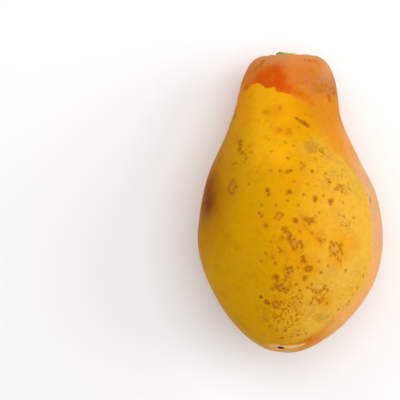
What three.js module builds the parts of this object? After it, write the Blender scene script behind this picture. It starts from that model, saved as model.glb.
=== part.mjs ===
// A small ripe papaya, lying on its side as it was picked.
// Millimetres, +Z up. +Y runs from the blossom end to the stem end and +X is to the right of it, so the fruit
// seen from above has its stem end at the top. The origin is on the surface that it rests on, under the middle
// of its outline.
import * as THREE from "three";
import { mergeVertices } from "three/addons/utils/BufferGeometryUtils.js";

// The fruit along its own axis, measured from the blossom end
const BODY_LENGTH = 149.6; // to the flat shoulder round the stalk
const BELLY_RADIUS = 46; // half the greatest width
const BELLY_AT = 56;
const NECK_RADIUS = 25.6;
const NECK_AT = 127.6;
const SHOULDER_RADIUS = 13; // where the round of the neck runs into the flat shoulder
const HEIGHT_TO_WIDTH = 0.955; // the section is a little flatter than it is wide

// The blossom scar: a small pit with a soft lip
const SCAR_RADIUS = 1.6;
const SCAR_DEPTH = 1.1;
const LIP_RADIUS = 3;
const LIP_AT = 0.1;

// The stub of the stalk, left where the fruit was cut from the tree
const STUB_RADIUS = 6.6;
const STUB_TOP = BODY_LENGTH + 1.8;
const STUB_ROOT = BODY_LENGTH - 0.5; // the shoulder sinks a little round the stub
const STUB_FACE_RADIUS = 5.2; // inside its rounded rim
const STUB_HEART = STUB_TOP - 0.8; // the dried heart of the stub has shrunk back
const STUB_SLANT = 0.11; // the cut is higher on the left

// Half the long section, from the blossom scar round the belly and up the neck to the heart of the stub, as
// (radius, distance along the axis): for each stretch its two ends with the two handles between them, and the
// number of steps it is drawn in.
const LONG_SECTION = [
  {
    name: "scar",
    steps: 4,
    path: [[0, SCAR_DEPTH], [SCAR_RADIUS, SCAR_DEPTH], [SCAR_RADIUS, LIP_AT], [LIP_RADIUS, LIP_AT]],
  },
  {
    name: "cap",
    steps: 17,
    path: [[LIP_RADIUS, LIP_AT], [20.5, 0.9], [BELLY_RADIUS, 29], [BELLY_RADIUS, BELLY_AT]],
  },
  {
    name: "flank",
    steps: 15,
    path: [[BELLY_RADIUS, BELLY_AT], [BELLY_RADIUS, 90], [28.4, 103], [NECK_RADIUS, NECK_AT]],
  },
  {
    name: "neck",
    steps: 10,
    path: [[NECK_RADIUS, NECK_AT], [24.6, 134], [21.8, BODY_LENGTH], [SHOULDER_RADIUS, BODY_LENGTH]],
  },
  {
    name: "shoulder",
    steps: 3,
    path: [[SHOULDER_RADIUS, BODY_LENGTH], [10.5, BODY_LENGTH], [9, STUB_ROOT], [STUB_RADIUS, STUB_ROOT]],
  },
  {
    name: "side of the stub",
    steps: 4,
    path: [[STUB_RADIUS, STUB_ROOT], [STUB_RADIUS, STUB_TOP - 0.5], [6.2, STUB_TOP], [STUB_FACE_RADIUS, STUB_TOP]],
  },
  {
    name: "face of the stub",
    steps: 3,
    path: [[STUB_FACE_RADIUS, STUB_TOP], [3.8, STUB_TOP], [2, STUB_HEART], [0, STUB_HEART]],
  },
];
const SIDES = 60;

// The axis isn't quite straight. Below the belly it leans to the left, and at both ends it turns up. Each bend has
// a slope, a place where it starts and a length that it comes in over, which is negative where the bend lies above
// that place. The flank is set to the left, and the neck comes back halfway.
const LEAN = { slope: -0.127, from: 52, over: 12 };
const LIFT = { slope: 0.22, from: 26, over: 7 };
const NECK_LIFT = { slope: -0.176, from: 133, over: -5 };
const FLANK_SHIFT = { by: -2.5, from: 48, to: 94 };
const NECK_SHIFT = { by: 1.4, from: 104, to: 146 };

// Five faint lobes, one for each seed chamber, which deepen towards both ends
const LOBES = 5;
const LOBE_TURN = 0.35; // radians from the right-hand side to the first crest
const LOBE_SHARE = 0.008; // of the radius, at the belly
const LOBE_END_SHARE = 0.028;
const LOBE_END_REACH = 14; // how far from each end the deeper lobes reach

// Slow swellings, as shares of the radius: how many there are round the fruit, and their turn, which wanders
// by so many radians for each millimetre along it
const SWELLINGS = [
  { share: 0.008, around: 2, turn: 1.2, wander: 0.025 },
  { share: 0.005, around: 3, turn: 0.4, wander: -0.04 },
];

// How it lies: the neck droops, and the weight has pressed a small flat spot
const DROOP = THREE.MathUtils.degToRad(12);
const FLAT_DEPTH = 0.8;

const SKIN = new THREE.MeshStandardMaterial({ color: 0xe2a51a, roughness: 0.48, metalness: 0 });

function bend(along, { slope, from, over }) {
  return slope * over * Math.log1p(Math.exp((from - along) / over));
}

function shift(along, { by, from, to }) {
  return by * THREE.MathUtils.smootherstep(along, from, to);
}

class FruitAxis extends THREE.Curve {
  getPoint(share, target = new THREE.Vector3()) {
    const along = share * BODY_LENGTH;
    const sideways = bend(along, LEAN) + shift(along, FLANK_SHIFT) + shift(along, NECK_SHIFT);
    return target.set(sideways, along, bend(along, LIFT) + bend(along, NECK_LIFT));
  }
}

// How far the section swells or draws in at an angle, as a factor on its radius.
function unevenness(along, angle) {
  const fromEnd = Math.max(Math.min(along, BODY_LENGTH - along), 0);
  const lobe = LOBE_SHARE + (LOBE_END_SHARE - LOBE_SHARE) * Math.exp(-fromEnd / LOBE_END_REACH);
  let factor = 1 + lobe * Math.cos(LOBES * (angle - LOBE_TURN));
  for (const { share, around, turn, wander } of SWELLINGS) {
    factor += share * Math.sin(around * angle + turn + wander * along);
  }
  return factor;
}

// The point of the skin at a radius, a distance along the axis and an angle from the right-hand side, on a
// section that stands square to the axis.
function skinPoint(axis, radius, along, angle) {
  const share = THREE.MathUtils.clamp(along / BODY_LENGTH, 0, 1);
  const forward = axis.getTangent(share);
  const right = new THREE.Vector3().crossVectors(forward, new THREE.Vector3(0, 0, 1)).normalize();
  const up = new THREE.Vector3().crossVectors(right, forward);

  const slant = along > BODY_LENGTH ? STUB_SLANT * radius * Math.cos(angle) : 0;
  const beyond = along - share * BODY_LENGTH - slant;
  const reach = radius * unevenness(along, angle);
  return axis.getPoint(share)
    .addScaledVector(forward, beyond)
    .addScaledVector(right, reach * Math.cos(angle))
    .addScaledVector(up, reach * HEIGHT_TO_WIDTH * Math.sin(angle));
}

// A plain turned solid of the long section, whose points are then moved to where the fruit has them.
function fruitGeometry() {
  const profile = [new THREE.Vector2(0, SCAR_DEPTH)];
  for (const { path, steps } of LONG_SECTION) {
    const curve = new THREE.CubicBezierCurve(...path.map((corner) => new THREE.Vector2(...corner)));
    profile.push(...curve.getPoints(steps).slice(1));
  }
  const turned = new THREE.LatheGeometry(profile, SIDES);
  turned.deleteAttribute("normal");
  turned.deleteAttribute("uv");
  const fruit = mergeVertices(turned);

  const axis = new FruitAxis();
  const points = fruit.getAttribute("position");
  for (let i = 0; i < points.count; i++) {
    const [x, along, z] = [points.getX(i), points.getY(i), points.getZ(i)];
    const moved = skinPoint(axis, Math.hypot(x, z), along, Math.atan2(z, x));
    points.setXYZ(i, moved.x, moved.y, moved.z);
  }
  return fruit;
}

// Lays the fruit down: the neck droops, the lowest skin is pressed flat, and the outline is centred.
function layDown(fruit) {
  fruit.rotateX(-DROOP);
  fruit.computeBoundingBox();
  const surface = fruit.boundingBox.min.z + FLAT_DEPTH;
  const points = fruit.getAttribute("position");
  for (let i = 0; i < points.count; i++) {
    points.setZ(i, Math.max(points.getZ(i), surface));
  }
  const middle = fruit.boundingBox.getCenter(new THREE.Vector3());
  fruit.translate(-middle.x, -middle.y, -surface);
  fruit.computeVertexNormals();
  return fruit;
}

const fruit = new THREE.Mesh(layDown(fruitGeometry()), SKIN);
fruit.name = "papaya_fruit";

const papaya = new THREE.Group();
papaya.add(fruit);

export default papaya;
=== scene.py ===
import math

import bpy
import numpy
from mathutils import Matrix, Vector
from mathutils.bvhtree import BVHTree


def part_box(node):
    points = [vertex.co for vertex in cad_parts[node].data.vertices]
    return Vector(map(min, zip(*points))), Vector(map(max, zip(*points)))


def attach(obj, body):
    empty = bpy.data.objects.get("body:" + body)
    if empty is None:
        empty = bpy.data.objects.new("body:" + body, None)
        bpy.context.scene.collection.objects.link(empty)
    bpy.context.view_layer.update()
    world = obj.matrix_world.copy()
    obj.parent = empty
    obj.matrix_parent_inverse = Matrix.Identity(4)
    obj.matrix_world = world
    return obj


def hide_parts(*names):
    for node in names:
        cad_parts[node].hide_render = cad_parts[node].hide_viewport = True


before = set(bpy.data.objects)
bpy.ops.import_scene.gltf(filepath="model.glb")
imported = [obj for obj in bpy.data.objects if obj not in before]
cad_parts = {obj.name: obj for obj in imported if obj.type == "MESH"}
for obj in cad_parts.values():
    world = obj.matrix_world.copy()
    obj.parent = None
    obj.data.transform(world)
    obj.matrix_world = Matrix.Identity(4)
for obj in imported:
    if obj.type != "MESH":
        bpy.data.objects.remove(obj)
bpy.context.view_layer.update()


# The view. The fruit is looked at from straight above, from a metre away and from a little to its left, through
# a long lens. At the height of the fruit's widest part one picture point is half a millimetre, so the places of
# the marks on the skin are written in picture points, across from the left and down from the top.
EYE = Vector((-45, 0.43, 1044))  # millimetres
MIDDLE_HEIGHT = 44
PICTURE_MIDDLE = 200
POINTS_TO_MM = 0.5


def new_object(name, data):
    made = bpy.data.objects.new(name, data)
    bpy.context.scene.collection.objects.link(made)
    return made


lens = bpy.data.cameras.new("view_from_above")
lens.lens = 180
lens.sensor_width = 36
lens.clip_start = 0.05
lens.clip_end = 10
view_from_above = new_object("view_from_above", lens)
view_from_above.location = EYE / 1000
bpy.context.scene.camera = view_from_above


def under_picture(across, down):
    """The point, in millimetres, that a picture point stands for at the height of the fruit's widest part."""
    return Vector((
        EYE.x + (across - PICTURE_MIDDLE) * POINTS_TO_MM,
        EYE.y + (PICTURE_MIDDLE - down) * POINTS_TO_MM,
        MIDDLE_HEIGHT,
    ))


# The fruit: thin skin over firm flesh, grown as one body. A long section from the blossom scar to the stalk is
# turned round an axis that bends a little, and drawn into five faint lobes. Then the fruit is laid down with
# its neck drooping, and pressed flat where it rests. The sizes are those of the solid, in millimetres.
BODY_LENGTH = 149.6
BELLY_RADIUS = 46
BELLY_AT = 56.0
NECK_RADIUS = 25.6
NECK_AT = 127.6
SHOULDER_RADIUS = 13
SCAR_RADIUS = 1.6
SCAR_DEPTH = 1.1
LIP_RADIUS = 3
LIP_AT = 0.1
STUB_RADIUS = 6.6
STUB_ROOT = BODY_LENGTH - 0.5
SOCKET_FLOOR = BODY_LENGTH - 2.5  # the skin goes on under the stub, out of sight
LONG_SECTION = [
    [(0, SCAR_DEPTH), (SCAR_RADIUS, SCAR_DEPTH), (SCAR_RADIUS, LIP_AT), (LIP_RADIUS, LIP_AT)],
    [(LIP_RADIUS, LIP_AT), (20.5, 0.9), (BELLY_RADIUS, 29), (BELLY_RADIUS, BELLY_AT)],
    [(BELLY_RADIUS, BELLY_AT), (BELLY_RADIUS, 90), (28.4, 103), (NECK_RADIUS, NECK_AT)],
    [(NECK_RADIUS, NECK_AT), (24.6, 134), (21.8, BODY_LENGTH), (SHOULDER_RADIUS, BODY_LENGTH)],
    [(SHOULDER_RADIUS, BODY_LENGTH), (10.5, BODY_LENGTH), (9, STUB_ROOT), (STUB_RADIUS, STUB_ROOT)],
    [(STUB_RADIUS, STUB_ROOT), (5, STUB_ROOT), (4, SOCKET_FLOOR), (0, SOCKET_FLOOR)],
]
SECTION_STEPS = 240  # for each stretch of the long section
SWELLINGS = [  # share of the radius, how many round the fruit, turn, and how far that wanders in each millimetre
    (0.008, 2.0, 1.2, 0.025), (0.005, 3.0, 0.4, -0.04),
]
FRUIT_SIZES = {
    "Sides": 300,
    "Rings": 332,
    "Crowding On Top": 0.35,  # the steps round the fruit are finer on its upper side
    "Crowding At Ends": 0.5,
    "Body Length": BODY_LENGTH,
    "Height To Width": 0.955,
    "Lean Slope": -0.127,
    "Lean From": 52.0,
    "Lean Over": 12.0,
    "Lift Slope": 0.22,
    "Lift From": 26.0,
    "Lift Over": 7.0,
    "Neck Lift Slope": -0.176,
    "Neck Lift From": 133.0,
    "Neck Lift Over": -5.0,
    "Flank Shift By": -2.5,
    "Flank Shift From": 48.0,
    "Flank Shift To": 94.0,
    "Neck Shift By": 1.4,
    "Neck Shift From": 104.0,
    "Neck Shift To": 146.0,
    "Lobes": 5.0,
    "Lobe Turn": 0.35,
    "Lobe Share": 0.008,
    "Lobe End Share": 0.028,
    "Lobe End Reach": 14.0,
    "Droop": math.radians(12),
    "Flat Depth": 0.8,
    "Flat Softness": 0.25,
    "Dents": 0.35,  # how far slow dents and swellings move the skin
    "Dent Width": 21.0,
    "Ripples": 0.07,
    "Ripple Width": 4.5,
    "Stalk Folds": 0.3,
    "Stalk Fold Count": 13.0,
    "Tip Fold": 0.4,  # the crease over the blossom scar
    "Tip Fold Above": 3.7,
    "Tip Fold Middle": 4.0,
    "Tip Fold Arch": 0.012,
    "Freckles": 9000.0,  # on each square metre of the skin that isn't seen from above
    "Freckle Seed": 11,
    "Smallest Freckle": 0.4,
    "Largest Freckle": 1.5,
}


class Wire:
    """A socket of a node tree. Sums on it add Math nodes, or Vector Math nodes where a vector takes part."""

    def __init__(self, tree, socket=None):
        self.tree = tree
        self.socket = socket

    def node(self, kind, settings=None, sockets=None, out=0):
        """A node of any type: first its settings, then the values or links of its sockets."""
        made = self.tree.nodes.new(kind)
        for name, value in (settings or {}).items():
            if name == "stops":
                for place, colour in value[len(made.color_ramp.elements):]:
                    made.color_ramp.elements.new(place)
                for stop, (place, colour) in zip(made.color_ramp.elements, value):
                    stop.position, stop.color = place, colour
            else:
                setattr(made, name, value)
        for name, value in (sockets or {}).items():
            if isinstance(value, Wire):
                self.tree.links.new(value.socket, made.inputs[name])
            else:
                made.inputs[name].default_value = value
        return Wire(self.tree, made.outputs[out] if made.outputs else None)

    def is_vector(self):
        return self.socket.type in ("VECTOR", "RGBA")

    def maths(self, operation, *values):
        if any(v.is_vector() for v in values if isinstance(v, Wire)):
            values = [v if isinstance(v, (Wire, tuple)) else (v, v, v) for v in values]
            return self.node("ShaderNodeVectorMath", {"operation": operation}, dict(enumerate(values)))
        return self.node("ShaderNodeMath", {"operation": operation}, dict(enumerate(values)))

    def __add__(self, other):
        return self.maths("ADD", self, other)

    def __sub__(self, other):
        return self.maths("SUBTRACT", self, other)

    def __mul__(self, other):
        return self.maths("MULTIPLY", self, other)

    def __truediv__(self, other):
        return self.maths("DIVIDE", self, other)

    def __rsub__(self, other):
        return self.maths("SUBTRACT", other, self)

    def __rtruediv__(self, other):
        return self.maths("DIVIDE", other, self)

    __radd__ = __add__
    __rmul__ = __mul__

    def at_least(self, other):
        return self.maths("MAXIMUM", self, other)

    def at_most(self, other):
        return self.maths("MINIMUM", self, other)

    def sine(self):
        return self.maths("SINE", self)

    def cosine(self):
        return self.maths("COSINE", self)

    def exponent(self):
        return self.maths("EXPONENT", self)

    def rise(self, low, high):
        """0 below low, 1 above high, with a smooth step between them; high may be the lower one."""
        return self.node(
            "ShaderNodeMapRange", {"interpolation_type": "SMOOTHSTEP"}, {0: self, 1: low, 2: high, 3: 0.0, 4: 1.0}
        )

    def parts(self):
        split = self.node("ShaderNodeSeparateXYZ", None, {0: self}).socket.node
        return [Wire(self.tree, out) for out in split.outputs]

    def vector(self, x, y, z):
        return self.node("ShaderNodeCombineXYZ", None, {0: x, 1: y, 2: z})

    def length(self):
        return self.node("ShaderNodeVectorMath", {"operation": "LENGTH"}, {0: self}, "Value")

    def noise(self, place, size, detail=2.0):
        """Smooth noise about 0.5, with swellings about one size across, in the unit that place is in."""
        return self.node(
            "ShaderNodeTexNoise", None, {"Vector": place, "Scale": 1 / size, "Detail": detail, "Roughness": 0.5}
        )


def node_group(name, sizes):
    """An empty tree of Geometry Nodes with a named input for each size, and the sockets' identifiers by name."""
    kinds = {int: "NodeSocketInt", float: "NodeSocketFloat"}
    kinds[bpy.types.Object] = "NodeSocketObject"
    kinds[bpy.types.Material] = "NodeSocketMaterial"
    tree = bpy.data.node_groups.new(name, "GeometryNodeTree")
    tree.interface.new_socket("Geometry", in_out="INPUT", socket_type="NodeSocketGeometry")
    identifiers = {
        label: tree.interface.new_socket(label, in_out="INPUT", socket_type=kinds[type(value)]).identifier
        for label, value in sizes.items()
    }
    tree.interface.new_socket("Geometry", in_out="OUTPUT", socket_type="NodeSocketGeometry")
    given = Wire(tree).node("NodeGroupInput").socket.node
    return tree, identifiers, {out.name: Wire(tree, out) for out in given.outputs}


def grown(base, tree, identifiers, sizes, name):
    """The plain mesh that a tree of Geometry Nodes makes of a base object, as an object of its own."""
    modifier = base.modifiers.new(tree.name, "NODES")
    modifier.node_group = tree
    for label, value in sizes.items():
        modifier[identifiers[label]] = value
    graph = bpy.context.evaluated_depsgraph_get()
    graph.update()
    mesh = bpy.data.meshes.new_from_object(base.evaluated_get(graph), depsgraph=graph)
    mesh.name = name
    bpy.data.objects.remove(base)
    return new_object(name, mesh)


def new_material(name):
    material = bpy.data.materials.new(name)
    material.use_nodes = True
    material.node_tree.nodes.clear()
    return material


long_section = bpy.data.curves.new("long_section", "CURVE")
long_section.dimensions = "3D"
spline = long_section.splines.new("BEZIER")
spline.resolution_u = SECTION_STEPS
spline.bezier_points.add(len(LONG_SECTION))
for point in spline.bezier_points:
    point.handle_left_type = point.handle_right_type = "FREE"
for i, (start, leaving, arriving, end) in enumerate(LONG_SECTION):
    first, second = spline.bezier_points[i], spline.bezier_points[i + 1]
    first.co, first.handle_right = (*start, 0), (*leaving, 0)
    second.handle_left, second.co = (*arriving, 0), (*end, 0)
spline.bezier_points[0].handle_left = spline.bezier_points[0].co
spline.bezier_points[-1].handle_right = spline.bezier_points[-1].co
section_curve = new_object("long_section", long_section)

skin_material = new_material("papaya_skin")
solid_low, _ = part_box("papaya_fruit")
fruit_inputs = {
    "Long Section": section_curve, "Skin": skin_material,
    "Left Edge": solid_low.x * 1000, "Blossom End": solid_low.y * 1000, **FRUIT_SIZES,
}


def fruit_tree(inputs):
    """The tree that turns the long section round the bent axis and lays the fruit down."""
    tree, identifiers, given = node_group("grow_the_fruit", inputs)
    wire = Wire(tree)
    ball = wire.node("GeometryNodeMeshUVSphere", None, {
        "Segments": given["Sides"], "Rings": given["Rings"], "Radius": 1.0,
    })
    x, y, z = wire.node("GeometryNodeInputPosition").parts()
    turn = wire.maths("ARCTAN2", y, x)
    angle = turn + given["Crowding On Top"] * turn.cosine()
    ring = wire.maths("ARCTAN2", wire.maths("SQRT", x * x + y * y), z) / math.pi
    share_of_line = ring - given["Crowding At Ends"] * (ring * (2 * math.pi)).sine() / (2 * math.pi)

    curve = wire.node("GeometryNodeObjectInfo", None, {"Object": given["Long Section"]}, "Geometry")
    radius, along, _ = wire.node(
        "GeometryNodeSampleCurve", {"mode": "FACTOR"}, {"Curves": curve, "Factor": share_of_line}, "Position"
    ).parts()

    # The lobes deepen towards both ends, and two slow swellings run round the fruit
    length = given["Body Length"]
    from_end = along.at_most(length - along).at_least(0.0)
    end_part = (0.0 - from_end / given["Lobe End Reach"]).exponent()
    lobe = given["Lobe Share"] + (given["Lobe End Share"] - given["Lobe Share"]) * end_part
    uneven = 1.0 + lobe * (given["Lobes"] * (angle - given["Lobe Turn"])).cosine()
    for share, around, start, wander in SWELLINGS:
        uneven = uneven + share * (around * angle + start + wander * along).sine()

    # The axis and its direction. Each bend and each shift gives how far the axis moves, and its slope there. A
    # shift is the smooth step 6t^5 - 15t^4 + 10t^3
    def bend(name):
        slope, start, over = (given[f"{name} {size}"] for size in ("Slope", "From", "Over"))
        grown_by = ((start - along) / over).exponent()
        moved = slope * over * wire.maths("LOGARITHM", 1.0 + grown_by, math.e)
        return moved, 0.0 - slope * grown_by / (1.0 + grown_by)

    def shift(name):
        by, start, end = (given[f"{name} Shift {size}"] for size in ("By", "From", "To"))
        part = ((along - start) / (end - start)).at_least(0.0).at_most(1.0)
        slope = 30.0 * part * part * (1.0 - part) * (1.0 - part) / (end - start)
        return by * part * part * part * (part * (part * 6.0 - 15.0) + 10.0), by * slope

    (lean, lean_slope), (lift, lift_slope) = bend("Lean"), bend("Lift")
    neck_lift, neck_lift_slope = bend("Neck Lift")
    (flank_shift, flank_slope), (neck_shift, neck_slope) = shift("Flank"), shift("Neck")
    direction = wire.vector(lean_slope + flank_slope + neck_slope, 1.0, lift_slope + neck_lift_slope)
    forward = wire.maths("NORMALIZE", direction)
    right = wire.maths("NORMALIZE", wire.maths("CROSS_PRODUCT", forward, (0.0, 0.0, 1.0)))
    up = wire.maths("CROSS_PRODUCT", right, forward)
    centre = wire.vector(lean + flank_shift + neck_shift, along, lift + neck_lift)
    wide = radius * uneven * angle.cosine()
    high = radius * uneven * given["Height To Width"] * angle.sine()

    # The puckers on the ring of skin round the stalk, unevenly spaced
    pucker = (given["Stalk Fold Count"] * angle + 2.0 * (3.0 * angle).sine()).cosine() * given["Stalk Folds"]
    pucker = pucker * radius.rise(7.0, 9.5) * radius.rise(19.0, 12.0) * along.rise(130.0, 145.0)

    # The crease that runs across above the blossom scar, a shallow arch that fades out at its ends
    beside = wide - given["Tip Fold Middle"]
    crease_line = high - given["Tip Fold Above"] - beside * beside * given["Tip Fold Arch"]
    crease = (0.0 - crease_line * crease_line * 1.1).exponent() * given["Tip Fold"]
    crease = crease * wide.rise(-9.0, -3.0) * wide.rise(17.0, 9.0) * along.rise(22.0, 8.0)
    point = centre + right * wide + up * high + forward * (pucker + crease)

    # The droop
    laid = wire.node("ShaderNodeVectorRotate", {"rotation_type": "X_AXIS"}, {
        "Vector": point, "Angle": 0.0 - given["Droop"],
    })
    turned = wire.node("GeometryNodeSetPosition", None, {"Geometry": ball, "Position": laid})

    # Slow dents and fine ripples
    place = wire.node("GeometryNodeInputPosition")
    outwards = wire.node("GeometryNodeInputNormal")
    dents = (wire.noise(place, given["Dent Width"], 1.0) - 0.5) * 2.0 * given["Dents"]
    ripples = (wire.noise(place, given["Ripple Width"], 2.0) - 0.5) * 2.0 * given["Ripples"]
    uneven_skin = wire.node("GeometryNodeSetPosition", None, {
        "Geometry": turned, "Offset": outwards * (dents + ripples),
    })

    # Pressed flat where it rests, then set in the solid's place, in metres
    low_x, low_y, low_z = wire.node("GeometryNodeBoundBox", None, {"Geometry": uneven_skin}, "Min").parts()
    x, y, z = wire.node("GeometryNodeInputPosition").parts()
    surface = low_z + given["Flat Depth"]
    pressed = wire.maths("SMOOTH_MAX", z, surface, given["Flat Softness"])
    settled = wire.vector(
        x - low_x + given["Left Edge"], y - low_y + given["Blossom End"], pressed - surface
    ) * 0.001
    settled_skin = wire.node("GeometryNodeSetPosition", None, {"Geometry": uneven_skin, "Position": settled})

    # Freckles, scattered over the sides and the underside, more of them small than large. Each point of the skin
    # keeps how far inside one it lies
    _, _, height = (wire.node("GeometryNodeInputPosition") * 1000.0).parts()
    density = height.rise(52.0, 40.0) * given["Freckles"]
    scattered = wire.node("GeometryNodeDistributePointsOnFaces", {"distribute_method": "RANDOM"}, {
        "Mesh": settled_skin, "Density": density, "Seed": given["Freckle Seed"],
    })
    reach = wire.node("FunctionNodeRandomValue", {"data_type": "FLOAT"}, {
        2: given["Smallest Freckle"], 3: given["Largest Freckle"], 8: given["Freckle Seed"],
    }, 1)
    nearest = wire.node("GeometryNodeSampleNearest", {"domain": "POINT"}, {"Geometry": scattered})
    reach = wire.node("GeometryNodeSampleIndex", {"data_type": "FLOAT", "domain": "POINT"}, {
        "Geometry": scattered, "Value": reach * reach * 0.7, "Index": nearest,
    })
    away = wire.node("GeometryNodeProximity", {"target_element": "POINTS"}, {0: scattered}, "Distance")
    freckled_skin = wire.node("GeometryNodeStoreNamedAttribute", {"data_type": "FLOAT", "domain": "POINT"}, {
        "Geometry": settled_skin, "Name": "freckle", "Value": reach - away * 1000.0,
    })
    smooth = wire.node("GeometryNodeSetShadeSmooth", None, {"Geometry": freckled_skin})
    real = wire.node("GeometryNodeRealizeInstances", None, {"Geometry": smooth})
    dressed = wire.node("GeometryNodeSetMaterial", None, {"Geometry": real, "Material": given["Skin"]})
    wire.node("NodeGroupOutput", None, {0: dressed})
    return tree, identifiers


fruit_nodes, fruit_identifiers = fruit_tree(fruit_inputs)
fruit_base = new_object("fruit_base", bpy.data.meshes.new("fruit_base"))
skin = grown(fruit_base, fruit_nodes, fruit_identifiers, fruit_inputs, "papaya_skin")
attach(skin, "root")
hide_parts("papaya_fruit")
bpy.data.objects.remove(section_curve)


# The marks on the skin: latex scabs, corky spots, small black bruises, soft scuffs, thin scratches and the edge
# of the yellow patch. Each is set where it shows from above, and is kept on the skin as a number that says how
# far inside a mark each point lies, in millimetres, below 0 outside it.
OUT_OF_REACH = 6.0
SMALL_MARK = 3.0  # picture points: a smaller one is centred on the nearest point of the mesh

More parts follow.
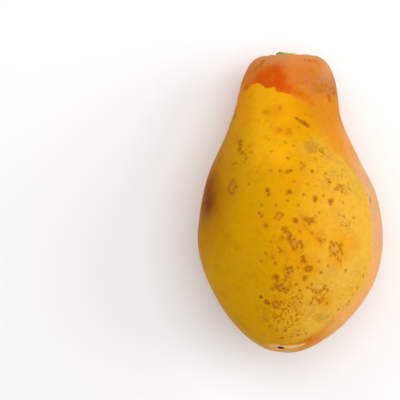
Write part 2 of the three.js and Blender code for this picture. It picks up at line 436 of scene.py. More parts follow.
# Discs: how far across and down the middle of each is, and its size, all in picture points
BROWN = [  # scabs
    (240, 142, 5), (240.4, 146, 5), (239, 149.8, 4.2), (242, 153, 4.8), (249, 146, 1.5), (251, 152, 1.6),
    (246, 158.5, 2), (244, 163, 1.5), (221, 158, 2.2), (219, 161.5, 2.4), (233.3, 163.6, 1.6),
    (234.9, 162.6, 1.5), (285.5, 142, 2), (294, 146, 1.6), (287.5, 159, 2.5), (279.5, 171, 2.2),
    (287.5, 171.5, 3), (290.5, 170.5, 2.5), (300.5, 162.5, 1.8), (302.6, 164, 1.5), (305, 165.5, 1.8),
    (303.5, 167.5, 1.6), (302, 169, 2), (311.8, 171, 3.4), (325.5, 173.5, 2.4), (327.5, 179.5, 2.4),
    (329.5, 182.5, 3), (335.5, 189, 2.2), (337.5, 187.5, 2), (340, 186, 2), (339.5, 184, 1.8),
    (342.5, 187, 2), (344, 184.5, 1.6), (347.5, 183, 1.5), (233, 180.5, 2.4), (231, 182.5, 2),
    (229.5, 185, 2), (228.6, 188, 2.2), (229, 191.5, 2), (230.5, 194, 2.2), (234.5, 183.5, 2),
    (235, 186.5, 2.2), (233.8, 189.5, 2), (232.4, 192.5, 1.8), (267.5, 190, 4), (269, 193.5, 2.6),
    (289, 191.8, 4.2), (290.5, 193, 3), (287, 193.2, 1.8), (303, 194, 1.6), (315, 197.8, 3.6),
    (315, 200.4, 3.8), (330.2, 201.5, 3.8), (330.6, 203.8, 3.4), (332, 200.5, 3), (287, 201, 2),
    (298, 204.5, 2), (262, 205, 2.2), (324, 196, 1.6), (343, 203, 1.6), (307, 184, 1.5), (295.5, 220.6, 5),
    (306, 219.6, 4), (309, 221.2, 4.2), (311.8, 219.4, 3), (309.6, 223.4, 3), (312.6, 222.4, 2.4),
    (266, 225.5, 3.4), (261.5, 216, 2.6), (259.4, 213, 2.2), (344, 216.2, 1.5), (353, 218.5, 2),
    (342, 224, 1.5), (347, 225.4, 1.5), (276, 216, 2), (278.4, 219, 1.8), (281, 217, 1.8), (283.4, 215, 1.6),
    (280, 213.4, 1.6), (277.4, 213.4, 1.5), (274.4, 218.4, 1.5), (282, 237.5, 2.6), (283.4, 228.8, 3.6),
    (285.6, 231.4, 3.6), (288.6, 232.6, 3.2), (290, 235.6, 4), (289, 239, 3.6), (291, 241.6, 4),
    (294.4, 239.6, 3.4), (297, 243.4, 3), (300.2, 242, 3), (301.6, 244.8, 3), (301.8, 247.2, 2.6),
    (294, 249, 3), (296.8, 246.6, 2.4), (292, 245.4, 2.4), (286.6, 227, 2), (331.4, 242.6, 3),
    (333.6, 245.6, 3), (329.8, 247.6, 2.2), (336.2, 243, 2.8), (339, 246.4, 3), (341, 244.4, 2.4),
    (340.6, 249.6, 3), (337.4, 252.4, 3), (333.6, 252.6, 2.6), (330.6, 251, 2.2), (336, 255.6, 2.2),
    (338.4, 258.6, 2), (339.6, 261.6, 1.8), (331, 256, 1.8), (341.6, 253.6, 2.2), (325, 240.2, 1.8),
    (320.6, 241, 2.6), (318.4, 239, 1.8), (280.5, 252, 2.8), (266, 254, 2.2), (279, 248.6, 1.8),
    (273, 258, 2), (275, 263, 2.6), (303, 257.2, 3.6), (303.4, 260, 3.8), (304.6, 262.2, 2.8),
    (301.4, 261.6, 2.2), (308.5, 267.4, 4.2), (307, 270.4, 3.6), (310.2, 270, 3.4), (311.4, 267.6, 2.2),
    (305.4, 268.6, 2), (287.6, 268.6, 3.2), (290.6, 267.6, 3.4), (291.6, 271, 3.4), (288.4, 272.6, 3),
    (286, 276.4, 2.2), (285, 279.4, 2), (305, 277.5, 4), (304.4, 279.2, 3), (276, 276.8, 5.2),
    (276.8, 279, 3.6), (273.8, 277.6, 2.2), (275.6, 285.2, 3.4), (277.6, 288, 4), (281.4, 285.4, 3.4),
    (283.8, 288.4, 4), (287.6, 289.6, 3.2), (280, 290.2, 3), (285.6, 291.6, 2.4), (290, 286, 2),
    (273.4, 288.6, 2.2), (277.4, 281.4, 1.8), (273.6, 303.4, 3), (276.4, 302.2, 3.2), (279, 304.6, 3),
    (277.2, 307, 3.4), (274, 306.6, 2.6), (280.6, 302, 2), (266.4, 302, 4.6), (268.6, 303.2, 2.6),
    (285.7, 330.6, 2.8), (282, 338, 2.2), (298, 335, 2.2), (309, 340, 2), (298.6, 331, 1.6),
    (306, 333.4, 1.6), (291, 336.4, 1.5), (270, 326, 2), (266.4, 320.6, 1.8), (276.6, 330, 1.7),
    (346, 270, 2.2), (321.5, 273, 2.6), (318.6, 262, 1.6), (327.4, 266.2, 1.6), (297.6, 268, 1.7),
    (296, 285, 2), (300, 290.6, 2), (307.6, 288, 2.2), (311.6, 284.2, 1.8), (325, 286.6, 2.4),
    (327, 290.2, 2), (321, 291, 2), (316.6, 293.6, 2.2), (313, 298, 2), (322.6, 298.6, 2), (319, 303.2, 1.8),
    (311, 303.6, 2.4), (326.6, 303, 1.8), (363, 276, 1.8), (357, 288, 1.8), (347, 305, 2), (349, 301, 1.6),
    (338.4, 309, 1.6), (352.6, 295, 1.4), (261, 262, 1.6), (270.6, 241.6, 1.7), (299, 232, 1.6),
    (312, 232.6, 1.5), (318.6, 213, 1.6), (276, 205, 1.5), (270.6, 170, 1.6), (257.4, 172.6, 1.5),
    (249, 183.4, 1.5), (315, 158.6, 1.6), (295, 181, 1.4), (271, 151.6, 1.5), (296.6, 118.8, 2.4),
    (298.6, 120, 2), (301, 121, 3.4), (304, 123.2, 4.6), (306.8, 125.2, 3.8), (308.6, 126.6, 2.2),
    (256, 68, 1.6), (258, 66, 2), (260.4, 64.6, 1.6), (262, 67, 1.4), (254.6, 71, 1.4), (305, 59.6, 1.4),
    (309, 60.6, 1.7), (313, 60.2, 1.5), (316, 61.8, 1.4), (318, 63.4, 1.4), (330, 88.6, 1.5),
    (332.6, 87, 1.5), (328.6, 96, 2.2), (329.4, 98.6, 2.6), (329.2, 100.6, 2), (321, 91.6, 1.5),
    (326, 86, 1.4),
]
RUST = [  # flat rusty spots
    (264.6, 111.8, 4.4), (267.4, 112.8, 3.6), (280, 108.2, 5), (279.4, 130.2, 4), (277, 132, 3),
    (289.4, 129.6, 4.4), (290, 133, 4.6), (286.6, 134, 3), (266, 137, 2.4), (269, 139, 2.4), (237, 138, 3.2),
    (299, 127.6, 2.6), (270, 126.6, 2), (259, 121, 2), (318.6, 87.4, 5), (322, 86.4, 5), (323.6, 90, 4.4),
    (319.4, 90.8, 4), (325.6, 85.2, 3), (332.5, 88, 2.2), (335, 94, 2), (329.4, 96.6, 4.2),
    (329.2, 99.6, 3.6), (306, 114.6, 3), (311, 116, 3), (301, 121, 4), (304, 122.6, 6), (306.6, 125, 5),
    (315, 85, 6), (319, 88, 8), (324, 88, 7), (316, 91, 5), (257, 67.6, 5), (260, 65.6, 4), (310, 60.6, 4),
    (315, 61.4, 4),
]
CORK = [  # corky hearts of the larger scabs
    (279.4, 216, 1.8), (276.6, 218.6, 1.5), (331.8, 203.6, 2.2), (294.2, 242, 4.6), (296.6, 241, 3),
    (287.4, 235, 2), (335, 249.4, 5), (337.6, 248.2, 3.6), (333, 248.4, 3), (336.6, 246, 2.4),
    (289.6, 270.2, 3.2), (290.6, 272.4, 2.4), (283, 286.6, 3), (280, 287.4, 2.8), (286.4, 287.6, 2.4),
    (275.8, 304.6, 3), (278, 305.4, 2.2), (308.6, 221.6, 2.2), (341.4, 187.4, 2), (343.4, 186, 1.8),
    (338, 190.4, 1.8), (308.4, 269, 1.8), (371.8, 197.6, 2), (372.4, 201, 2), (372.2, 204.4, 1.8),
    (303.4, 163.4, 1.6), (231.6, 187.6, 1.8),
]
DARK = [  # small black bruises
    (219.2, 161.5, 1.5), (240.3, 144.6, 1.8), (242.2, 152.6, 1.6), (296.8, 118.9, 1.8), (304.8, 123.8, 1.5),
    (261, 297, 3.6), (265.6, 301, 1.6), (268.4, 303.4, 1.8), (369.8, 196.4, 1.7), (370, 198.6, 2),
    (370.4, 200.8, 2), (370.9, 203, 1.6), (329.6, 182.6, 1.4), (276.2, 277.4, 1.6), (289.2, 192, 1.4),
    (221, 158, 1.3), (231.2, 193.8, 1.7), (236.4, 186, 1.6), (229.6, 186, 1.4), (246, 158.5, 1.4),
    (233.6, 163.4, 1.4), (240.4, 149, 1.4), (267.8, 190.6, 1.4), (290.4, 170.6, 1.4), (311.8, 171, 1.3),
    (315.2, 199.4, 1.4), (330.6, 202.6, 1.4), (303.6, 260, 1.3), (290.2, 236.4, 1.3), (295.8, 220.8, 1.3),
    (310, 222, 1.3), (279, 286, 1.3), (283.6, 289, 1.3),
]
SMUDGE = [  # scuffs
    (308, 143, 8), (309, 147, 9), (311, 150, 8), (313, 143, 6), (307.6, 151, 4), (316, 147, 6), (320, 150, 5),
    (320, 316, 6), (321, 320, 6), (317.6, 319, 5), (290.6, 306, 4), (286, 282, 5), (288, 276, 5),
    (236, 187, 7), (231, 186, 8), (340, 190, 5), (345, 192, 5), (350, 190, 4), (284, 268, 5), (312, 219, 6),
    (302, 217, 5),
]
KHAKI = [  # a dull sheen, hatched across
    (313, 146, 10), (320, 150, 10), (327, 153, 9), (333, 157, 9), (339, 163, 8), (345, 170, 8), (349, 177, 8),
    (352, 184, 7), (356, 190, 6), (359, 197, 6), (331, 272, 9), (323, 318, 10), (312, 312, 8), (335, 175, 8),
    (303, 149, 9), (318, 140, 9), (326, 146, 9), (341, 214, 6), (346, 222, 7), (346, 158, 8), (353, 171, 8),
    (340, 148, 6),
]
BLUSH = [  # warm clouds in the yellow
    (312, 113, 14), (306, 109, 12), (318, 120, 10), (341, 240, 12), (346, 247, 12), (344, 254, 10),
    (336, 262, 10), (308, 268, 14), (304, 228, 12), (312, 234, 12), (318, 240, 10), (278, 338, 10),
    (285, 339, 9), (352, 244, 14), (276, 112, 16), (286, 130, 14), (326, 300, 12), (292, 250, 12),
    (297, 262, 10), (330, 128, 8),
]
FRECKLED = [  # where fine flecks and curls are scattered
    (288, 310, 26), (278, 320, 20), (298, 318, 20), (319, 294, 22), (307, 306, 18), (266, 312, 16),
    (330, 284, 14), (282, 240, 22), (296, 250, 20), (284, 286, 22), (306, 268, 16), (240, 158, 22),
    (312, 170, 20), (330, 180, 22), (345, 220, 20), (322, 150, 18), (345, 300, 16), (330, 316, 14),
    (300, 330, 18), (270, 300, 14), (343, 172, 16), (358, 180, 10), (366, 200, 8), (290, 330, 14),
    (360, 270, 10), (354, 286, 10),
]
DEEP_NECK = [  # the deep orange of the neck, which thins out along the edge of the patch
    (260, 79, 15), (268, 75, 17), (276, 72, 14), (255, 84, 13), (268, 84, 18), (279, 79, 16), (281, 86, 13),
    (289, 88.5, 8), (247, 91, 9), (295, 91.5, 4), (299, 93.5, 2.4), (303, 96, 1.6), (307, 99, 1.2),
    (311, 103, 1),
]
DENSE_FLECKS = [  # where the flecks lie thickest
    (284, 308, 14), (291, 314, 16), (297, 306, 12), (281, 317, 12), (289, 322, 12), (296, 298, 10),
    (300, 316, 10), (277, 320, 9), (314, 291, 10), (322, 290, 10), (318, 300, 8), (324, 153, 8),
    (342, 189, 7),
]
# painted shadow: where a neighbouring fruit shades the left edge, in picture points
NEIGHBOUR_SHADOW_DISCS = [(208, 191, 24), (208, 199, 27), (208, 206, 22), (211, 182, 12)]
CREASE_HIGHLIGHT_DISCS = [  # a painted highlight along the crease over the blossom scar
    (270, 345.9, 1), (272, 345.9, 1.6), (274, 346, 2), (276, 346.2, 2.4), (278, 346.4, 2.6),
    (280, 346.6, 2.6), (282, 346.8, 2.6), (284, 346.9, 2.8), (286, 347, 2.8), (288, 346.9, 3),
    (290, 346.7, 3), (292, 346.4, 3), (294, 346, 3), (296, 345.6, 3), (298, 345.2, 2.6), (300, 344.8, 2.2),
    (302, 344.4, 1.6), (304, 344, 1),
]
SCRATCHES = [  # thin lines, from corner to corner, across and down
    [(302, 223.5), (306, 227), (311, 233), (315, 238), (320, 244), (323, 249)],
    [(296, 213), (300, 216), (303, 220), (305, 225)], [(314, 212), (316, 217), (317, 223), (315, 228)],
    [(337, 212), (340, 215), (344, 217)], [(338, 222), (342, 225), (347, 226), (351, 224)],
    [(337, 255), (338, 260), (337.6, 265)], [(341, 256), (341.6, 262), (341, 268)],
    [(293, 303), (296, 308), (298, 314)], [(297, 301), (295, 307), (291, 313)],
    [(301, 303), (299, 309), (300, 315)], [(288, 298), (291, 303), (295, 305)],
    [(283, 312), (287, 316), (292, 317)], [(276, 316), (281, 318), (285, 322)],
    [(288, 326), (293, 324), (297, 320)], [(303, 313), (301, 318), (297, 323)],
    [(316, 287), (319, 291), (318, 295)], [(308, 305), (313, 304), (317, 306)],
    [(312, 318), (317, 314), (323, 312)], [(280, 250), (286, 256), (289, 262)],
    [(289, 258), (285, 265), (284, 273), (286, 279)], [(329, 171), (333, 171.6), (337, 173)],
    [(343, 187), (348, 186.6), (352, 185)], [(313, 186), (319, 186.4)], [(318, 238), (321, 242), (326, 243)],
    [(319, 235), (324, 234), (328, 236)], [(230, 181), (228, 187), (229, 193), (232, 196)],
    [(233, 178), (236, 182), (236, 189), (233, 194)], [(344, 142), (340, 148), (342, 153)],
    [(238, 133), (237, 139), (239, 147)],
]
YELLOW_PATCH = [  # its edge, in picture points, from the left of the neck round by the right
    (236, 104), (240, 98), (243.5, 91), (247, 90), (251, 86), (253, 84.5), (258, 83.5), (262, 85), (266, 88),
    (270, 88), (273, 87), (277, 92), (283, 93), (290, 94), (295, 98), (306, 104), (315, 115.5), (320, 130),
    (327, 142.5), (341, 156), (354, 172), (361, 184), (366.5, 196), (370.5, 213.5), (372, 233.9),
    (371.6, 254), (369.6, 270.6), (364, 285.5), (354.6, 298.4), (342.6, 309), (332.6, 318), (322, 329.6),
    (309, 336.4), (297, 342.4), (271.6, 346), (240, 348), (200, 340), (170, 300), (170, 190), (200, 150),
    (226, 112),
]

skin_points = numpy.empty(len(skin.data.vertices) * 3)
skin.data.vertices.foreach_get("co", skin_points)
skin_points = skin_points.reshape(-1, 3) * 1000
skin_surface = BVHTree.FromObject(skin, bpy.context.evaluated_depsgraph_get())


def on_skin(across, down):
    """Where the line of sight through a picture point meets the skin, in millimetres."""
    sight = under_picture(across, down) - EYE
    hit = skin_surface.ray_cast(EYE / 1000, sight.normalized())[0]
    return numpy.array(hit) * 1000


def squared_distance(place):
    """How far each point of the skin is from a place, squared."""
    return ((skin_points - place) ** 2).sum(axis=1)


def inside_discs(discs):
    inside = numpy.full(len(skin_points), -OUT_OF_REACH)
    for across, down, size in discs:
        centre = on_skin(across, down)
        if size < SMALL_MARK:
            centre = skin_points[squared_distance(centre).argmin()]
        inside = numpy.maximum(inside, size * POINTS_TO_MM / 2 - numpy.sqrt(squared_distance(centre)))
    return inside


# The points of the skin and those of a drawn line, both as they are seen at the height of the widest part
spread = (EYE.z - MIDDLE_HEIGHT) / (EYE.z - skin_points[:, 2])
flat = numpy.stack([(skin_points[:, 0] - EYE.x) * spread, (skin_points[:, 1] - EYE.y) * spread], axis=1)


def drawn(corners):
    return numpy.array([tuple(under_picture(*corner) - EYE)[:2] for corner in corners])


def inside_outline(corners):
    """How far inside an outline drawn on the picture each point of the skin lies, in millimetres."""
    ends = drawn(corners)
    nearest = numpy.full(len(flat), numpy.inf)
    within = numpy.zeros(len(flat), bool)
    for (x0, y0), (x1, y1) in zip(ends, numpy.roll(ends, -1, axis=0)):
        edge = numpy.array([x1 - x0, y1 - y0])
        part = numpy.clip(((flat - (x0, y0)) @ edge) / (edge @ edge), 0, 1)
        gap = flat - (x0, y0) - part[:, None] * edge
        nearest = numpy.minimum(nearest, numpy.hypot(gap[:, 0], gap[:, 1]))
        crosses = (y0 > flat[:, 1]) != (y1 > flat[:, 1])
        if y1 != y0:
            within ^= crosses & (flat[:, 0] < x0 + (flat[:, 1] - y0) * (x1 - x0) / (y1 - y0))
    return numpy.where(within, nearest, -nearest).clip(-OUT_OF_REACH, OUT_OF_REACH)


def beside_lines(lines):
    """How far beside the nearest line each point of the skin lies, below 0 to its left, and how far from its
    ends."""
    nearest = numpy.full(len(flat), OUT_OF_REACH)
    beside, inside = nearest.copy(), -nearest
    for line in lines:
        corners = drawn(line)
        for i, (start, end) in enumerate(zip(corners, corners[1:])):
            step = (end - start) / numpy.linalg.norm(end - start)
            along, gap = (flat - start) @ step, numpy.linalg.norm(end - start)
            sideways = (flat - start) @ numpy.array([step[1], -step[0]])
            beyond = numpy.maximum(-along, along - gap)
            distance = numpy.hypot(sideways, beyond.clip(0))
            closer = distance < nearest
            nearest = numpy.where(closer, distance, nearest)
            beside = numpy.where(closer, numpy.copysign(distance, sideways), beside)
            ends = numpy.full(len(flat), OUT_OF_REACH)
            ends = numpy.minimum(ends, along) if i == 0 else ends
            ends = numpy.minimum(ends, gap - along) if i == len(corners) - 2 else ends
            inside = numpy.where(closer, ends, inside)
    return beside, inside


def keep_on_skin(name, values):
    skin.data.attributes.new(name, "FLOAT", "POINT").data.foreach_set("value", values.astype(numpy.float32))


for name, discs in {
    "brown": BROWN, "rust": RUST, "cork": CORK, "dark": DARK, "smudge": SMUDGE, "khaki": KHAKI, "blush": BLUSH,
    "freckled": FRECKLED, "dense_flecks": DENSE_FLECKS, "deep_neck": DEEP_NECK, "crease": CREASE_HIGHLIGHT_DISCS,
    "bruise": NEIGHBOUR_SHADOW_DISCS,
}.items():
    keep_on_skin(name, inside_discs(discs))
keep_on_skin("yellow_patch", inside_outline(YELLOW_PATCH))
for name, values in zip(("beside_scratch", "inside_scratch"), beside_lines(SCRATCHES)):
    keep_on_skin(name, values)


# The finish of the skin: its colours, and what they are laid over
def paint(red, green, blue):
    """A colour by its printed values, 0 to 255, as the linear colour that a shader takes."""
    return (*(((v / 255 + 0.055) / 1.055) ** 2.4 for v in (red, green, blue)), 1.0)


def mixed(first, second, factor):
    return factor.node("ShaderNodeMix", {"data_type": "RGBA"}, {0: factor, 6: first, 7: second}, 2)


def millimetres(wire):
    """The place of a point of the surface."""
    return wire.node("ShaderNodeTexCoord", None, None, "Object") * 1000.0


def bumped(height, strength):
    return height.node(
        "ShaderNodeBump", None, {"Strength": strength, "Distance": 0.001, "Height": height}, "Normal"
    )


def dress(wire, sockets):
    """Ends the tree of a material in one shader with these sockets."""
    shader = wire.node("ShaderNodeBsdfPrincipled", None, sockets, "BSDF")
    wire.node("ShaderNodeOutputMaterial", None, {"Surface": shader})


YELLOW = paint(226, 162, 2)
OLIVE = paint(204, 150, 2)
WARM = paint(230, 144, 2)
AMBER = paint(228, 150, 2)
GOLD = paint(252, 184, 16)
# a painted highlight: the pale yellow of a lamp's broad sheen
HIGHLIGHT_YELLOW = paint(238, 190, 80)
NECK = paint(216, 88, 2)
NECK_PEACH = paint(214, 122, 44)
NECK_DULL = paint(200, 122, 66)
# orange skin with a painted reflection along the rim; the second is lighter, painted light for the lower rim
RIM_REFLECTION_PEACH = paint(224, 172, 122)
LOW_RIM_REFLECTION = paint(244, 180, 100)
SIDE_ORANGE = paint(216, 122, 18)
SIDE_GOLD = paint(222, 144, 20)
FLANK_ORANGE = paint(228, 142, 30)
# painted shade along the left side
LEFT_SIDE_SHADE = paint(160, 90, 2)
# painted shadow of a neighbouring fruit on the left edge
NEIGHBOUR_SHADOW = paint(110, 26, 0)
BROWN_MARK = paint(172, 100, 4)
RUST_MARK = paint(202, 116, 6)
CORK_MARK = paint(208, 136, 66)
DARK_MARK = paint(96, 52, 6)
SMUDGE_MARK = paint(178, 122, 34)
KHAKI_MARK = paint(206, 158, 62)
FRECKLE_MARK = paint(150, 88, 16)
TIP_BROWN = paint(240, 180, 100)
CREASE_HIGHLIGHT = paint(252, 212, 136)
SHADE = paint(0, 0, 0)

wire = Wire(skin_material.node_tree)
place = millimetres(wire)
x, y, z = place.parts()


def on_mesh(name):
    return wire.node("ShaderNodeAttribute", {"attribute_name": name}, None, "Fac")


wobble = wire.noise(place, 1.7, 2.0) - 0.5
ragged = wire.noise(place, 0.9, 2.0) - 0.5
broad = wire.noise(place, 14.0, 2.0)
middling = wire.noise(place, 6.0, 3.0)
fine = wire.noise(place, 2.2, 3.0)
edge = on_mesh("yellow_patch")

# Outside the yellow patch: an orange neck with a deep blush, a peach right side, and orange with golden clouds
# below. The peach along the right side and the neck's rim is orange skin with a painted reflection, and the
# left side is darkened with painted shade
sides = mixed(SIDE_ORANGE, SIDE_GOLD, (broad * 0.7 + middling * 0.3).rise(0.36, 0.64))
# Painted shade: darker brown up the left side, where a neighbouring fruit shades it
sides = mixed(sides, LEFT_SIDE_SHADE, (x + broad * 14.0).rise(-22.0, -38.0) * z.rise(18.0, 34.0) * 0.8)
# A painted reflection along the right rim over orange skin, lighter lower down where it makes up for the light
# falling off
rim_reflection_part = (x + broad * 12.0 - 6.0 + (0.0 - y - 30.0).at_least(0.0) * 0.35).rise(22.0, 36.0)
rim_reflection_part = rim_reflection_part * (z + (broad - 0.5) * 22.0 + (middling - 0.5) * 10.0).rise(33.0, 55.0)
sides = mixed(sides, FLANK_ORANGE, (x + broad * 20.0 - 10.0).rise(0.0, 20.0) * z.rise(20.0, 50.0))
sides = mixed(sides, mixed(RIM_REFLECTION_PEACH, LOW_RIM_REFLECTION, y.rise(-15.0, -45.0)), rim_reflection_part * 0.85)
neck_part = (y + broad * 12.0 - 6.0).rise(34.0, 52.0)
neck_colour = mixed(FLANK_ORANGE, NECK_PEACH, (y + (middling - 0.5) * 10.0).rise(46.0, 66.0))
# The same painted rim reflection along the neck's right side and top
neck_rim_reflection = (x + (middling - 0.5) * 8.0).rise(11.0, 21.0) * y.rise(53.0, 61.0) * 0.5
neck_rim_reflection = neck_rim_reflection.at_least((y + (middling - 0.5) * 8.0).rise(64.0, 75.0) * 0.4)
neck_colour = mixed(neck_colour, RIM_REFLECTION_PEACH, neck_rim_reflection)
dull_part = (x + (middling - 0.5) * 8.0).rise(0.0, 18.0) * y.rise(50.0, 56.0) * y.rise(66.0, 58.0)
neck_colour = mixed(neck_colour, NECK_DULL, dull_part * 0.6)
deep = (on_mesh("deep_neck") + (middling - 0.5) * 6.0 + wobble).rise(-4.0, 2.5)
neck_colour = mixed(neck_colour, NECK, deep)
around = mixed(sides, neck_colour, neck_part)

# The yellow patch, with olive clouds and warmer ones. Its edge is crisp on the neck, soft below it on the right
yellow = mixed(YELLOW, OLIVE, middling.rise(0.48, 0.74) * 0.35)
yellow = mixed(yellow, WARM, broad.rise(0.46, 0.72) * 0.35)
yellow = mixed(yellow, OLIVE, (x + y.at_least(0.0) * 0.3 + (middling - 0.5) * 8.0).rise(4.0, -24.0) * 0.5)
yellow = mixed(yellow, WARM, (y + (middling - 0.5) * 12.0).rise(26.0, 54.0) * 0.7)
# Painted shade: darker brown towards the left edge of the patch
yellow = mixed(yellow, LEFT_SIDE_SHADE, (x + (broad - 0.5) * 10.0).rise(-21.0, -42.0) * y.rise(-40.0, 0.0) * 0.7)
# A painted highlight: the yellow pales towards the right, where a lamp's broad sheen lies, more so lower down
pale = (x + (middling - 0.5) * 16.0 + (0.0 - y - 30.0).at_least(0.0) * 0.4).rise(-4.0, 30.0)
yellow = mixed(yellow, HIGHLIGHT_YELLOW, pale * y.rise(34.0, 14.0) * (0.44 + 0.16 * y.rise(-10.0, -40.0)))
yellow = mixed(yellow, GOLD, x.rise(-24.0, -14.0) * x.rise(4.0, -6.0) * y.rise(12.0, 22.0) * 0.6)
yellow = mixed(yellow, AMBER, (on_mesh("blush") + wobble * 3.0).rise(-5.0, 3.0) * 0.7)
softness = x.rise(2.0, 9.0) * y.rise(20.0, 27.0) * 4.0 + y.rise(26.0, 16.0) * 0.5
softness = softness + z.rise(44.0, 32.0) * 4.0 + 0.3
patch = ((edge + wobble * 1.8 + ragged * 0.8) / softness).rise(-1.0, 1.0)
patch = patch * (z + broad * 24.0 - 12.0).rise(20.0, 38.0)
colour = mixed(around, yellow, patch)
# A painted shadow: a dark red-brown blotch on the left edge stands for the shade of a neighbouring fruit
neighbour_shadow_part = (on_mesh("bruise") + (middling - 0.5) * 9.0 + wobble * 2.0).rise(-9.0, 9.5)
colour = mixed(colour, NEIGHBOUR_SHADOW, neighbour_shadow_part * 0.86)

# The tip round the blossom scar, paler under its crease, and a painted highlight along the crease's lower lip
tip = tuple(Vector(skin.data.vertices[0].co) * 1000)
from_tip = (place - tip).length()
tip_part = (from_tip + (middling - 0.5) * 9.0 + wobble * 3.0).rise(15.0, 4.0) * (y + wobble).rise(-69.8, -72.6)
colour = mixed(colour, TIP_BROWN, tip_part * 0.85)
# A painted highlight along the lower lip of the crease
colour = mixed(colour, CREASE_HIGHLIGHT, (on_mesh("crease") + ragged * 1.6 + wobble).rise(-1.8, 1.0) * 0.8)

# The marks: fine flecks and curly scratches where the skin is freckled, a hatched khaki sheen, scuffs, flat
# rusty spots, thin scratches, brown scabs with a paler halo, freckles, corky hearts and black bruises
crowd = on_mesh("freckled").rise(-6.0, 3.0)
dense = (on_mesh("dense_flecks") + wobble * 2.0).rise(-3.0, 1.5)
flecks = wire.noise(place, 1.6, 2.0).rise(0.57, 0.64) * (crowd * 0.45).at_least(dense)
curls = wire.maths("ABSOLUTE", wire.noise(place + (31.0, 7.0, 0.0), 2.9, 1.0) - 0.5).rise(0.08, 0.035)
curls = curls * wire.noise(place + (3.0, 47.0, 5.0), 2.4, 1.0).rise(0.49, 0.57) * (crowd * 0.35).at_least(dense)
loose = wire.node("ShaderNodeTexVoronoi", {"feature": "F1"}, {"Vector": place, "Scale": 1 / 3.4}, "Distance")
loose_specks = loose.rise(0.12, 0.08) * crowd.at_least(0.3)
hatching = wire.noise(wire.vector((x - y) * 0.25, x + y, z), 1.1, 2.0).rise(0.4, 0.62)
khaki = (on_mesh("khaki") + wobble * 3.0).rise(-3.0, 2.5) * (hatching * 0.5 + 0.4)
colour = mixed(colour, KHAKI_MARK, khaki * 0.8)
smudge = (on_mesh("smudge") + wobble * 3.0 + ragged * 3.0).rise(-1.6, 1.6)
colour = mixed(colour, SMUDGE_MARK, smudge * (0.35 + 0.3 * hatching))
colour = mixed(colour, RUST_MARK, (on_mesh("rust") + ragged * 2.0).rise(-0.9, 0.7) * 0.7)
beside_scratch = wire.maths("ABSOLUTE", on_mesh("beside_scratch") + ragged * 0.5)
scratches = beside_scratch.rise(0.32, 0.12) * on_mesh("inside_scratch").rise(-0.1, 0.9) * fine.rise(0.36, 0.52)
scabs = on_mesh("brown") + ragged * 1.6
halo = (scabs.rise(-1.4, 0.0) - 0.3).at_least(0.0)
brown = scabs.rise(-0.6, 0.3)
light_marks = (flecks * 0.75).at_least(curls * 0.85).at_least(loose_specks * 0.55).at_least(scratches * 0.5)
colour = mixed(colour, BROWN_MARK, light_marks.at_least(halo * 0.6).at_least(brown * 0.85))
freckle = (on_mesh("freckle") + ragged * 1.2).rise(-0.25, 0.3)
colour = mixed(colour, FRECKLE_MARK, freckle * 0.6)
cork = (on_mesh("cork") + ragged * 2.6).rise(-0.4, 0.5)
colour = mixed(colour, CORK_MARK, cork * 0.6)
dark = (on_mesh("dark") + ragged * 0.8).rise(-0.4, 0.35)
colour = mixed(colour, DARK_MARK, dark * 0.7)
colour = mixed(colour, SHADE, fine.rise(0.56, 0.4) * 0.035 + middling.rise(0.52, 0.36) * 0.06)
colour = mixed(colour, SHADE, x.rise(-2.0, 14.0) * y.rise(28.0, 44.0) * y.rise(70.0, 58.0) * 0.12)

grain = wire.noise(place, 0.55, 3.0)
height = grain * 0.02 + cork * 0.08 - brown * 0.05 + fine * 0.08 - scratches * 0.03
rough = 0.44 + middling * 0.1 + brown * 0.12 + cork * 0.2
dress(wire, {
    "Base Color": colour, "Roughness": rough, "Normal": bumped(height, 0.6),
    "Specular IOR Level": 0.02, "Subsurface Weight": 0.05, "Subsurface Radius": (1.0, 0.5, 0.2),
    "Subsurface Scale": 0.003,
})


# The stub of the stalk: the end of a woody stalk that was cut through close to the fruit. Its bark has dried to
# grey green, and the cut face is pale, with a ring of sap vessels round a heart that has shrunk back. Its foot is
# sunk into the skin round it.
STUB_SIDES = 144
STUB_SECTION = [  # radius, and height over the floor of the socket
    (0.01, 0.1), (4.4, 0.2), (5.8, 0.7), (6.3, 1.4), (6.5, 2.0), (6.6, 2.6), (6.62, 3.2), (6.45, 3.75),
    (6.15, 4.1), (5.7, 4.28), (5.2, 4.33), (4.6, 4.3), (3.9, 4.26), (3.2, 4.2), (2.6, 3.95), (2.0, 3.62),
    (1.4, 3.45), (0.7, 3.4), (0.01, 3.38),
]
STUB_STEPS = 5  # rings for each stretch of the section
STUB_SLANT = 0.11  # the cut is higher on the left
VESSELS = 17
VESSEL_RING = 4.35
VESSEL_HEIGHT = 0.16
VESSEL_SPREAD = 0.16  # the square of a vessel's width
FACE_RELIEF_FROM = 3.2  # the height over which the cut face's relief comes in, within a millimetre
RIBS_FROM = 3.0  # the radius at which the ribs begin
RIBS_OVER = 2.5  # how much further out they reach their full depth
CUT_FACE_PALE = paint(222, 205, 134)
CUT_FACE_OLIVE = paint(178, 160, 92)
HEART_BROWN = paint(120, 92, 48)
VESSEL_BROWN = paint(140, 112, 60)
BARK_PALE = paint(166, 164, 106)
BARK_GREEN = paint(128, 128, 84)
BARK_CREAM = paint(226, 208, 140)
BARK_SPOTS = paint(160, 132, 78)


def smooth_line(points, steps):
    """A line through the points, with a number of smooth steps for each stretch."""
    line = []
    for i in range(len(points) - 1):
        before, start, end, after = (Vector(points[min(max(k, 0), len(points) - 1)]) for k in range(i - 1, i + 3))
        for step in range(steps):
            t = step / steps
            line.append(0.5 * (
                2 * start + (end - before) * t + (2 * before - 5 * start + 4 * end - after) * t ** 2
                + (3 * start - before - 3 * end + after) * t ** 3
            ))
    return line + [Vector(points[-1])]


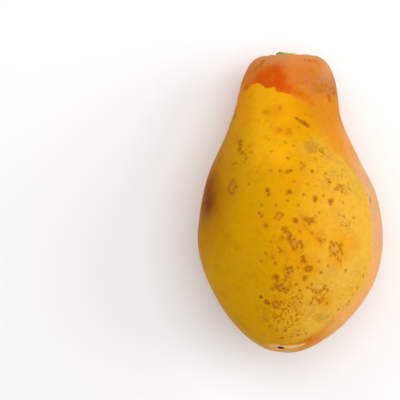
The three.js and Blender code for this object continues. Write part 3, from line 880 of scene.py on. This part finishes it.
def turned_piece(name, section, steps, sides, shape, base, upwards, material):
    """A closed turned body. shape moves a point, given as its radius, height and angle, and base and upwards set
    it on the fruit, in metres."""
    rings = smooth_line(section, steps)
    across = Vector((1, 0, 0))
    across = (across - upwards * across.dot(upwards)).normalized()
    beside = upwards.cross(across)
    vertices = []
    for radius, height in rings:
        for side in range(sides):
            angle = 2 * math.pi * side / sides
            far, tall = shape(radius, height, angle)
            spot = across * far * math.cos(angle) + beside * far * math.sin(angle) + upwards * tall
            vertices.append(base + spot / 1000)
    faces = []
    for ring in range(len(rings) - 1):
        for side in range(sides):
            after = (side + 1) % sides
            low, high = ring * sides, (ring + 1) * sides
            faces.append((low + side, low + after, high + after, high + side))
    for ring, backwards in ((0, True), (len(rings) - 1, False)):
        loop = [ring * sides + side for side in range(sides)]
        middle = len(vertices)
        vertices.append(sum((vertices[i] for i in loop), Vector()) / sides)
        for side in range(sides):
            a, b = loop[side], loop[(side + 1) % sides]
            faces.append((b, a, middle) if backwards else (a, b, middle))
    mesh = bpy.data.meshes.new(name)
    mesh.from_pydata([tuple(v) for v in vertices], [], faces)
    mesh.shade_smooth()
    mesh.materials.append(material)
    return new_object(name, mesh)


def stub_shape(radius, height, angle):
    """Ribs in the bark, and on the cut face a ring of vessels, rays, a ragged rim and the slant of the cut."""
    on_top = min(max(height - FACE_RELIEF_FROM, 0), 1)
    outer = min(max((radius - RIBS_FROM) / RIBS_OVER, 0), 1)
    ribs = 0.14 * math.cos(5 * angle - 1.1) + 0.09 * math.sin(11 * angle + 0.6) + 0.05 * math.sin(23 * angle)
    far = radius + ribs * outer
    spacing = 2 * math.pi / VESSELS
    beside_vessel = ((angle + 0.1 * math.sin(3 * angle)) % spacing - spacing / 2) * VESSEL_RING
    vessel = VESSEL_HEIGHT * math.exp(-((radius - VESSEL_RING) ** 2 + beside_vessel ** 2) / VESSEL_SPREAD)
    rays = 0.05 * math.sin(29 * angle + 1.3 * radius) * outer
    ragged_rim = 0.22 * math.sin(2 * angle + 0.4) * math.sin(7 * angle) * outer
    tall = height + on_top * (vessel + rays + ragged_rim - STUB_SLANT * radius * math.cos(angle))
    return far, tall


stalk_end = Vector(skin.data.vertices[-1].co)
neck_slope = FRUIT_SIZES["Droop"] + FRUIT_SIZES["Neck Lift Slope"]
stub_material = new_material("stalk_stub")
stub = turned_piece(
    "stalk_stub", STUB_SECTION, STUB_STEPS, STUB_SIDES, stub_shape,
    stalk_end, Vector((0, math.cos(neck_slope), -math.sin(neck_slope))), stub_material,
)
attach(stub, "root")

wire = Wire(stub_material.node_tree)
place = millimetres(wire)
heart = tuple(stalk_end * 1000)
x, _, _ = place.parts()
wobble = wire.noise(place, 1.6, 2.0) - 0.5
from_heart = ((place - heart) * (1.0, 0.0, 1.0)).length()
streaks = wire.noise(place * (3.0, 0.7, 3.0), 1.2, 3.0)
spots = wire.noise(place, 0.7, 2.0)
cut_face = mixed(CUT_FACE_PALE, CUT_FACE_OLIVE, streaks.rise(0.42, 0.62))
cut_face = mixed(cut_face, HEART_BROWN, from_heart.rise(2.6, 1.2) * 0.9)
vessel_ring = from_heart.rise(3.7, 4.1) * from_heart.rise(5.0, 4.6)
cut_face = mixed(cut_face, VESSEL_BROWN, vessel_ring * spots.rise(0.48, 0.6) * 0.8)
bark = mixed(BARK_PALE, BARK_GREEN, streaks.rise(0.44, 0.6))
bark = mixed(bark, BARK_CREAM, (x + wobble * 2.0).rise(-4.0, 0.0) * 0.85)
bark = mixed(bark, BARK_SPOTS, spots.rise(0.58, 0.68) * 0.7)
dress(wire, {
    "Base Color": mixed(cut_face, bark, (from_heart + spots * 0.8).rise(6.0, 6.5)),
    "Roughness": 0.7 + spots * 0.2, "Normal": bumped(streaks * 0.25 + spots * 0.12, 0.8),
    "Specular IOR Level": 0.25,
})


# The blossom scar: what the flower left at the other end, a dark dried star that sits in its pit. It is a small
# crumpled disc, drawn out into five blunt points, with its foot sunk into the floor of the pit.
SCAR_SIDES = 80
SCAR_SECTION = [
    (0.01, -0.5), (1.0, -0.45), (1.5, -0.1), (1.75, 0.25), (1.8, 0.5), (1.6, 0.68), (1.25, 0.66), (0.9, 0.5),
    (0.55, 0.45), (0.25, 0.62), (0.01, 0.7),
]
SCAR_STEPS = 4
SCAR_DARK = paint(48, 24, 10)
SCAR_BROWN = paint(104, 62, 30)


def scar_shape(radius, height, angle):
    star = 1 + 0.16 * math.cos(5 * angle + 0.5) + 0.06 * math.sin(9 * angle)
    crumple = 0.07 * math.sin(12 * angle + 4 * radius) + 0.05 * math.cos(7 * angle - 3 * radius)
    return radius * star, height + crumple * min(radius, 1)


scar_place = Vector(skin.data.vertices[0].co)
tip_direction = Vector(skin.data.vertices[0].normal).normalized()
scar_material = new_material("blossom_scar")
scar = turned_piece(
    "blossom_scar", SCAR_SECTION, SCAR_STEPS, SCAR_SIDES, scar_shape, scar_place, tip_direction, scar_material,
)
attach(scar, "root")

wire = Wire(scar_material.node_tree)
crumbs = wire.noise(millimetres(wire), 0.5, 3.0)
dress(wire, {
    "Base Color": mixed(SCAR_DARK, SCAR_BROWN, crumbs.rise(0.45, 0.68)),
    "Roughness": 0.7 + crumbs * 0.2, "Normal": bumped(crumbs * 0.2, 0.8), "Specular IOR Level": 0.2,
})


# The floor and the light: a plain pale floor, a soft lamp low on the right, a large one overhead, a weak one on
# the upper left, and a pale sky. Places and sizes are in metres.
FLOOR_REACH = 3
FLOOR_PALE = (0.93, 0.93, 0.93, 1)
WHITE_LIGHT = (1.0, 1.0, 1.0)
SKY_STRENGTH = 0.5
LIT_POINT = Vector((0, 0, 0.04))  # the middle of the fruit

floor_mesh = bpy.data.meshes.new("pale_floor")
floor_corners = [(x * FLOOR_REACH, y * FLOOR_REACH, 0) for x, y in ((-1, -1), (1, -1), (1, 1), (-1, 1))]
floor_mesh.from_pydata(floor_corners, [], [(0, 1, 2, 3)])
floor = new_object("pale_floor", floor_mesh)
floor_material = new_material("pale_floor")
dress(Wire(floor_material.node_tree), {"Base Color": FLOOR_PALE, "Roughness": 0.9})
floor_mesh.materials.append(floor_material)


def soft_light(name, position, size, power):
    light = bpy.data.lights.new(name, "AREA")
    light.shape = "DISK"
    light.size, light.energy, light.color = size, power, WHITE_LIGHT
    lamp = new_object(name, light)
    lamp.location = position
    lamp.rotation_euler = (LIT_POINT - Vector(position)).to_track_quat("-Z", "Y").to_euler()


soft_light("key_light", (0.85, 0.15, 0.6), 0.7, 3.8)
soft_light("top_light", (0.15, 0.2, 1.5), 1.2, 10.0)
soft_light("fill_light", (-0.45, 0.75, 0.8), 0.8, 1.6)

world = bpy.data.worlds.new("pale_room")
bpy.context.scene.world = world
world.use_nodes = True
sky = world.node_tree.nodes["Background"]
sky.inputs["Color"].default_value = (*WHITE_LIGHT, 1)
sky.inputs["Strength"].default_value = SKY_STRENGTH
bpy.context.scene.view_settings.view_transform = "Standard"
